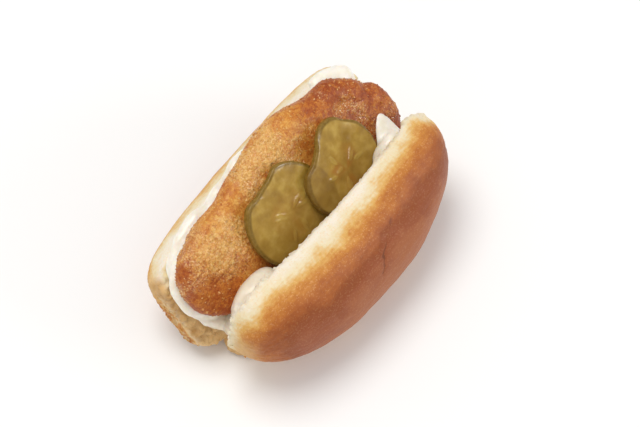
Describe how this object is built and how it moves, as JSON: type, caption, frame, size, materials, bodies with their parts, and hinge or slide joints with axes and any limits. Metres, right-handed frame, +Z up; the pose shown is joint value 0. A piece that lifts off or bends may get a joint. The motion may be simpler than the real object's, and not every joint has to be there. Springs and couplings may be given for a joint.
{
  "type": "fish slider",
  "caption": "Small soft roll, sliced and opened like a book, filled with a breaded fish fillet, gherkin slices and mayonnaise; it lies on its fold.",
  "frame": {"origin": "on the ground under the middle of the whole", "axes": "+X along the roll, +Y towards its flatter half, which is the base of the loaf, +Z up"},
  "size_m": [0.106, 0.0686, 0.0514],
  "materials": {
    "roll": "soft satin baked crust, pale matte crumb at the cut",
    "fish_crust": "rough golden fried crumb with small oily glints",
    "gherkin": "wet, slightly translucent, olive",
    "mayonnaise": "smooth, creamy, glossy"
  },
  "bodies": {
    "root": {"roll": "roll", "fish_fillet": "fish_crust", "gherkin_lower": "gherkin", "gherkin_upper": "gherkin", "mayonnaise": "mayonnaise"}
  },
  "joints": []
}
